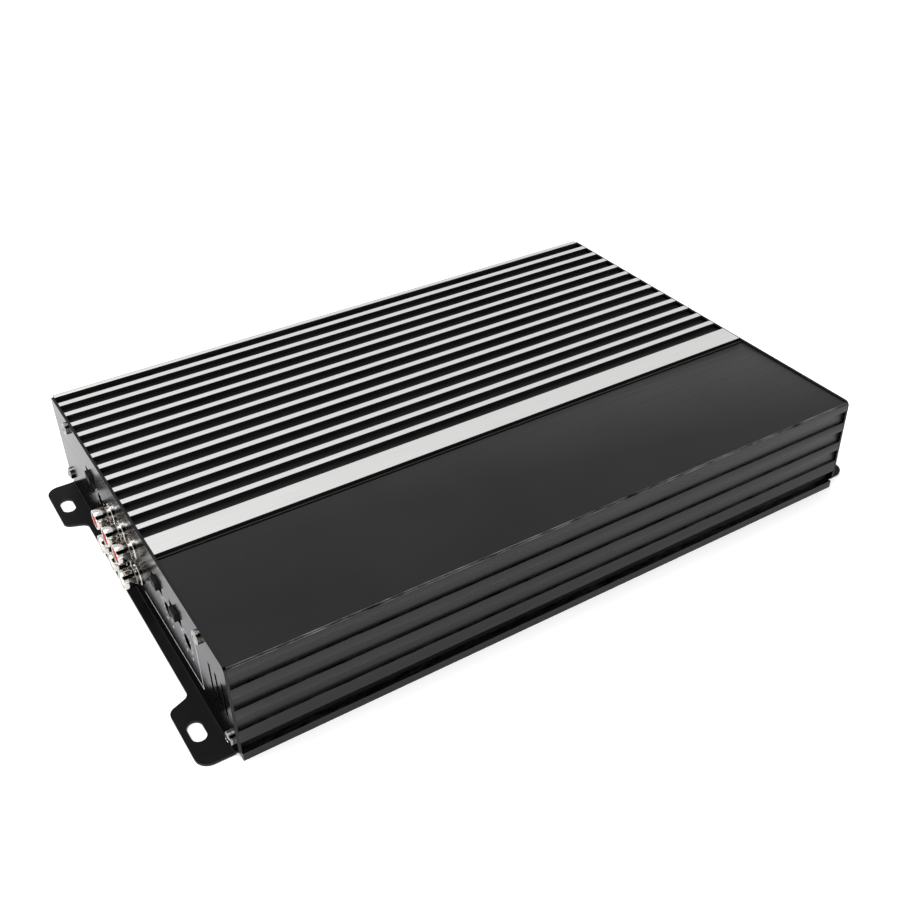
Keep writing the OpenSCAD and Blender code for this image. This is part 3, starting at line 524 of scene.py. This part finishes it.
ROW_PITCH = 14
FLANGE_STEP = 0.7
BEHIND_PANEL = 5
PANEL_SHEET = 1.2
barrel_low, barrel_high = box_mm("jack_barrels")
insulator_low, insulator_high = box_mm("jack_insulators_red")
FLANGE_R = (barrel_high.z - barrel_low.z - ROW_PITCH) / 2
BARREL_R = FLANGE_R - FLANGE_STEP
BORE_R = (insulator_high.z - insulator_low.z) / 2
mouth = barrel_low.x
root = barrel_high.x
panel_x = root - BEHIND_PANEL - PANEL_SHEET
barrel_outline = [
    (root, BORE_R), (root, BARREL_R), (panel_x - 0.1, BARREL_R), (panel_x - 0.1, FLANGE_R),
    (panel_x - 0.8, FLANGE_R), (panel_x - 1.0, FLANGE_R - 0.2), (panel_x - 1.0, BARREL_R - 0.5),
    (panel_x - 2.2, BARREL_R - 0.5), (panel_x - 2.5, BARREL_R - 0.1), (panel_x - 2.7, BARREL_R),
    (mouth + 0.35, BARREL_R), (mouth + 0.1, BARREL_R - 0.1), (mouth, BARREL_R - 0.3),
    (mouth, BORE_R + 0.1), (mouth + 0.15, BORE_R),
]
row_zs = (barrel_low.z + FLANGE_R, barrel_high.z - FLANGE_R)
middle_y = (barrel_low.y + barrel_high.y) / 2
column_ys = (barrel_low.y + FLANGE_R, middle_y, barrel_high.y - FLANGE_R)


def turned_row(node, name, outline, rows):
    """One turned shape at every column of the given rows, as one piece."""
    bm = bmesh.new()
    for z in rows:
        for y in column_ys:
            turned(bm, outline, y, z)
    bmesh.ops.recalc_face_normals(bm, faces=bm.faces)
    smooth(place_piece(bm, name, node, [FINISHES[SLOT_OF[node]]]), TURNED_ANGLE)


CORE_SUNK = 0.5
CONTACT_BORE_R = 1.6
CONTACT_R = 2.1
core_x = mouth + CORE_SUNK
core_root = insulator_high.x
core_outline = [
    (core_root, BORE_R), (core_root, CONTACT_R), (core_x, CONTACT_R),
    (core_x - 0.25, CONTACT_R + 0.3), (core_x, BORE_R - 0.4), (core_x + 0.3, BORE_R),
]
contact_outline = [
    (core_root, CONTACT_R), (core_root, CONTACT_BORE_R), (core_x + 0.9, CONTACT_BORE_R),
    (core_x + 0.6, CONTACT_BORE_R + 0.12), (core_x + 0.6, CONTACT_R - 0.1), (core_x + 0.9, CONTACT_R),
]
turned_row("jack_barrels", "socket_barrels", barrel_outline, row_zs)
turned_row("jack_insulators_red", "red_socket_cores", core_outline, row_zs[1:])
turned_row("jack_insulators_white", "white_socket_cores", core_outline, row_zs[:1])
turned_row("jack_contacts", "socket_contacts", contact_outline, row_zs)
print("barrels turned at", [round(y, 2) for y in column_ys], [round(z, 2) for z in row_zs])

# %% [markdown]
# ## Spindles and sliders
#
# The level controls are set with a screwdriver, so their spindles stand well back in their holes and
# look dark. The slide switches are worked with a fingertip: each slider is a small block that stands a
# little out of its window. Both are copies of the frame's parts with their outer ends pushed inwards.

# %% Push the ends back
SPINDLE_END = 2
SPINDLE_BACK = 1.8
SPINDLE_EDGE = 0.2
SLIDER_END = 1
SLIDER_BACK = 0.9
SLIDER_EDGE = 0.12
SLIDER_NARROW = 0.82
NARROW_REACH = 4


def pushed_back(node, name, end_mm, back_mm, edge_mm, narrow=1.0):
    """A node's copy, with what lies within end_mm of its outer end moved inwards and made narrower."""
    copy = merged_copy(node)
    low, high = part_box(node)
    outer = [vert for vert in copy.verts if vert.co.x < low.x + end_mm * MM]
    bmesh.ops.translate(copy, vec=(back_mm * MM, 0, 0), verts=outer)
    middle = Matrix.Translation(-(low + high) / 2)
    proud = [vert for vert in copy.verts if vert.co.x < low.x + NARROW_REACH * MM]
    bmesh.ops.scale(copy, vec=(1, narrow, narrow), space=middle, verts=proud)
    return soften(place_piece(copy, name, node, [FINISHES[SLOT_OF[node]]]), edge_mm)


for node in SHAFTS:
    pushed_back(node, node.replace("shaft", "spindle"), SPINDLE_END, SPINDLE_BACK, SPINDLE_EDGE)
for node in KNOBS:
    name = node.replace("knob", "slider")
    pushed_back(node, name, SLIDER_END, SLIDER_BACK, SLIDER_EDGE, SLIDER_NARROW)
print("spindles and sliders placed")

# %% [markdown]
# ## The wound ring
#
# The transformer's wire is one long strand wound round and round its ring. A curve with a round bevel
# draws it from a formula: while the angle round the ring grows slowly, the strand runs once round the
# ring's section for each turn.

# %% Wind the ring
winding_low, winding_high = box_mm("transformer_winding")
ring_centre = (winding_low + winding_high) / 2
OUTER_R = (winding_high.x - winding_low.x) / 2
HOLE_R = 9
WIRE_R = 0.75
TURNS = 40
STEPS = 12
INSIDE_BOX = 0.9
SQUARING = 0.7
half_w = (OUTER_R - HOLE_R) / 2 - WIRE_R - INSIDE_BOX
half_h = (winding_high.z - winding_low.z) / 2 - WIRE_R - INSIDE_BOX
strand = bpy.data.curves.new("strand", "CURVE")
strand.dimensions = "3D"
strand.bevel_depth = WIRE_R * MM
strand.bevel_resolution = 2
spline = strand.splines.new("POLY")
spline.points.add(TURNS * STEPS - 1)
for index in range(TURNS * STEPS):
    section = math.tau * index / STEPS
    around = math.tau * index / (TURNS * STEPS)
    squareness = max(abs(math.cos(section)), abs(math.sin(section))) ** SQUARING
    radius = (OUTER_R + HOLE_R) / 2 + half_w * math.cos(section) / squareness
    height = ring_centre.z + half_h * math.sin(section) / squareness
    x = ring_centre.x + radius * math.cos(around)
    y = ring_centre.y + radius * math.sin(around)
    spline.points[index].co = (x * MM, y * MM, height * MM, 1)
spline.use_cyclic_u = True
wire_object = bpy.data.objects.new("strand", strand)
bpy.context.scene.collection.objects.link(wire_object)
bpy.context.view_layer.update()
wire = bmesh.new()
wire.from_mesh(bpy.data.meshes.new_from_object(wire_object))
bpy.data.objects.remove(wire_object)
smooth(place_piece(wire, "wound_wire", "transformer_winding", [FINISHES["copper"]]))
print(TURNS, "turns wound")

# %% [markdown]
# ## Printed marks
#
# Both panels are screen printed in white. The signal panel has a thin frame by the controls, dial ticks
# round each level control and plain figures. The power panel has a figure for each pair of wires, with a
# plus or a minus at each. The ink is a skin a few hundredths of a millimetre thick, so each mark is a thin
# slab on the face.

# %% Ink helpers
INK = moulded("white_ink", (0.75, 0.75, 0.76), 0.5, 0.002)
INK_T = 0.03


def slab(bm, centre, size):
    """A thin box, placed by its centre and full size in millimetres."""
    verts = bmesh.ops.create_cube(bm, size=1)["verts"]
    bmesh.ops.scale(bm, vec=Vector(size) * MM, verts=verts)
    bmesh.ops.translate(bm, vec=Vector(centre) * MM, verts=verts)
    return verts


def figure(bm, text, height, centre, outward):
    """A printed figure, outward being -1 on the signal panel and 1 on the power panel."""
    curve = bpy.data.curves.new("figure", "FONT")
    curve.body = text
    curve.size = height
    curve.extrude = INK_T / 2
    curve.align_x = "CENTER"
    curve.align_y = "CENTER"
    holder = bpy.data.objects.new("figure", curve)
    bpy.context.scene.collection.objects.link(holder)
    bpy.context.view_layer.update()
    mesh = bpy.data.meshes.new_from_object(holder)
    turn = Matrix(((0, 0, outward), (outward, 0, 0), (0, 1, 0))).to_4x4()
    mesh.transform(Matrix.Translation(Vector(centre) * MM) @ Matrix.Scale(MM, 4) @ turn)
    bm.from_mesh(mesh)
    bpy.data.objects.remove(holder)


def place_ink(bm, name, body):
    """Turns a panel's marks into one inked piece that rides with a body."""
    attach(object_from(bm, name, [INK]), body)


# %% Print the signal panel
LINE = 0.28
FRAME_Y = 32.5
FRAME_END_Y = 100.0
FRAME_LOW_Z = 10.3
FRAME_TOP_Z = 37.0
DIAL_R = 5.0
DIAL_SWEEP = 280
DIAL_TICKS = 11
TICK_SIZE = (INK_T, 0.25, 1.1)
DIAL_FIGURES = {"0": 3.2, "9": -3.2}
DIAL_FIGURE_H = 2.2
DIAL_FIGURE_Z = 7.2
SWITCH_FIGURES = {"1": 4.5, "2": -4.5}
SWITCH_FIGURE_H = 2.0
SWITCH_FIGURE_Z = 5.2
signal_face = panel_x - INK_T / 2
front_y = sink_low.y / MM
frame_z = (FRAME_LOW_Z + FRAME_TOP_Z) / 2
frame_y = front_y + (FRAME_Y + FRAME_END_Y) / 2
signal_ink = bmesh.new()
slab(signal_ink, (signal_face, front_y + FRAME_Y, frame_z), (INK_T, LINE, FRAME_TOP_Z - FRAME_LOW_Z))
slab(signal_ink, (signal_face, frame_y, FRAME_LOW_Z), (INK_T, FRAME_END_Y - FRAME_Y, LINE))
for shaft in SHAFTS:
    low, high = box_mm(shaft)
    centre = (low + high) / 2
    axis = Vector((signal_face, centre.y, centre.z)) * MM
    for index in range(DIAL_TICKS):
        angle = math.radians((index / (DIAL_TICKS - 1) - 0.5) * DIAL_SWEEP)
        tick = slab(signal_ink, (signal_face, centre.y, centre.z + DIAL_R), TICK_SIZE)
        bmesh.ops.rotate(signal_ink, verts=tick, cent=axis, matrix=Matrix.Rotation(angle, 3, "X"))
    for text, aside in DIAL_FIGURES.items():
        spot = (signal_face, centre.y + aside, centre.z - DIAL_FIGURE_Z)
        figure(signal_ink, text, DIAL_FIGURE_H, spot, -1)
for slider in KNOBS:
    low, high = box_mm(slider)
    centre = (low + high) / 2
    for text, aside in SWITCH_FIGURES.items():
        spot = (signal_face, centre.y + aside, centre.z - SWITCH_FIGURE_Z)
        figure(signal_ink, text, SWITCH_FIGURE_H, spot, -1)
place_ink(signal_ink, "signal_panel_print", "chassis")

# %% Print the power panel
WAYS = 8
BLOCK_END = 0.6
WAY_FIGURE_H = 2.4
WAY_FIGURE_Z = 5
SIGN_Z = 2.4
SIGN_LONG = 1.6
SIGN_THICK = 0.4
power_face = -signal_face
block_low, block_high = box_mm("speaker_terminal_block")
pitch = (block_high.y - block_low.y - 2 * BLOCK_END) / WAYS
power_ink = bmesh.new()
for index in range(WAYS):
    y = block_low.y + BLOCK_END + (index + 0.5) * pitch
    spot = (power_face, y, block_high.z + WAY_FIGURE_Z)
    figure(power_ink, str(index // 2 + 1), WAY_FIGURE_H, spot, 1)
    sign = (power_face, y, block_high.z + SIGN_Z)
    slab(power_ink, sign, (INK_T, SIGN_LONG, SIGN_THICK))
    if index % 2 == 0:
        slab(power_ink, sign, (INK_T, SIGN_THICK, SIGN_LONG))
place_ink(power_ink, "power_panel_print", "chassis")
print("panels printed")

# %% [markdown]
# ## Floor, light and air
#
# The amplifier stands on a pale floor in a bright tent. Black paint and bright metal show only what they
# mirror, so most of the light is the even white of the room, with one large soft lamp above and one low
# from the front left that draws the long edges. A black card hangs over the front, and only mirrors can
# see it. It draws the dark bands that make turned metal look round.

# %% Set up the room
FLOOR_SIZE = 6
AIR_STRENGTH = 1.0
LIGHT_AIM = Vector((0, 0, 0.03))
floor_mesh = bmesh.new()
bmesh.ops.create_grid(floor_mesh, x_segments=1, y_segments=1, size=FLOOR_SIZE / 2)
pale_floor = finish(
    "pale_floor", (0.96, 0.96, 0.96), 0.9, specular_ior_level=0.1, emission_strength=0.25
)
floor = object_from(floor_mesh, "floor", [pale_floor])

room = bpy.data.worlds.new("room")
room.use_nodes = True
air = room.node_tree.nodes["Background"]
air.inputs["Color"].default_value = (1, 1, 1, 1)
air.inputs["Strength"].default_value = AIR_STRENGTH
bpy.context.scene.world = room
bpy.context.scene.view_settings.view_transform = "Standard"


def softbox(name, place, size, watts):
    """A rectangular soft lamp that shines at the part."""
    lamp = bpy.data.lights.new(name, "AREA")
    lamp.shape = "RECTANGLE"
    lamp.size, lamp.size_y = size
    lamp.energy = watts
    holder = bpy.data.objects.new(name, lamp)
    holder.location = place
    holder.rotation_euler = (LIGHT_AIM - Vector(place)).to_track_quat("-Z", "Y").to_euler()
    bpy.context.scene.collection.objects.link(holder)


softbox("key_light", (-0.5, 0.3, 1.3), (0.9, 0.6), 10)
softbox("front_light", (-0.9, -0.9, 0.5), (0.5, 0.4), 5)

# %% Hang the black card
CARD_SIZE = (3.0, 1.4)
CARD_PLACE = (0.1, -1.1, 1.3)
CARD_TILT = math.radians(40)
card_mesh = bmesh.new()
bmesh.ops.create_grid(card_mesh, x_segments=1, y_segments=1, size=0.5)
bmesh.ops.scale(card_mesh, vec=(*CARD_SIZE, 1), verts=card_mesh.verts)
bmesh.ops.rotate(card_mesh, matrix=Matrix.Rotation(CARD_TILT, 3, "X"), verts=card_mesh.verts)
bmesh.ops.translate(card_mesh, vec=CARD_PLACE, verts=card_mesh.verts)
card_black = finish("card_black", (0, 0, 0), 1.0, specular_ior_level=0.0)
card = object_from(card_mesh, "black_card", [card_black])
card.visible_camera = False
card.visible_diffuse = False
card.visible_shadow = False
print("room lit")
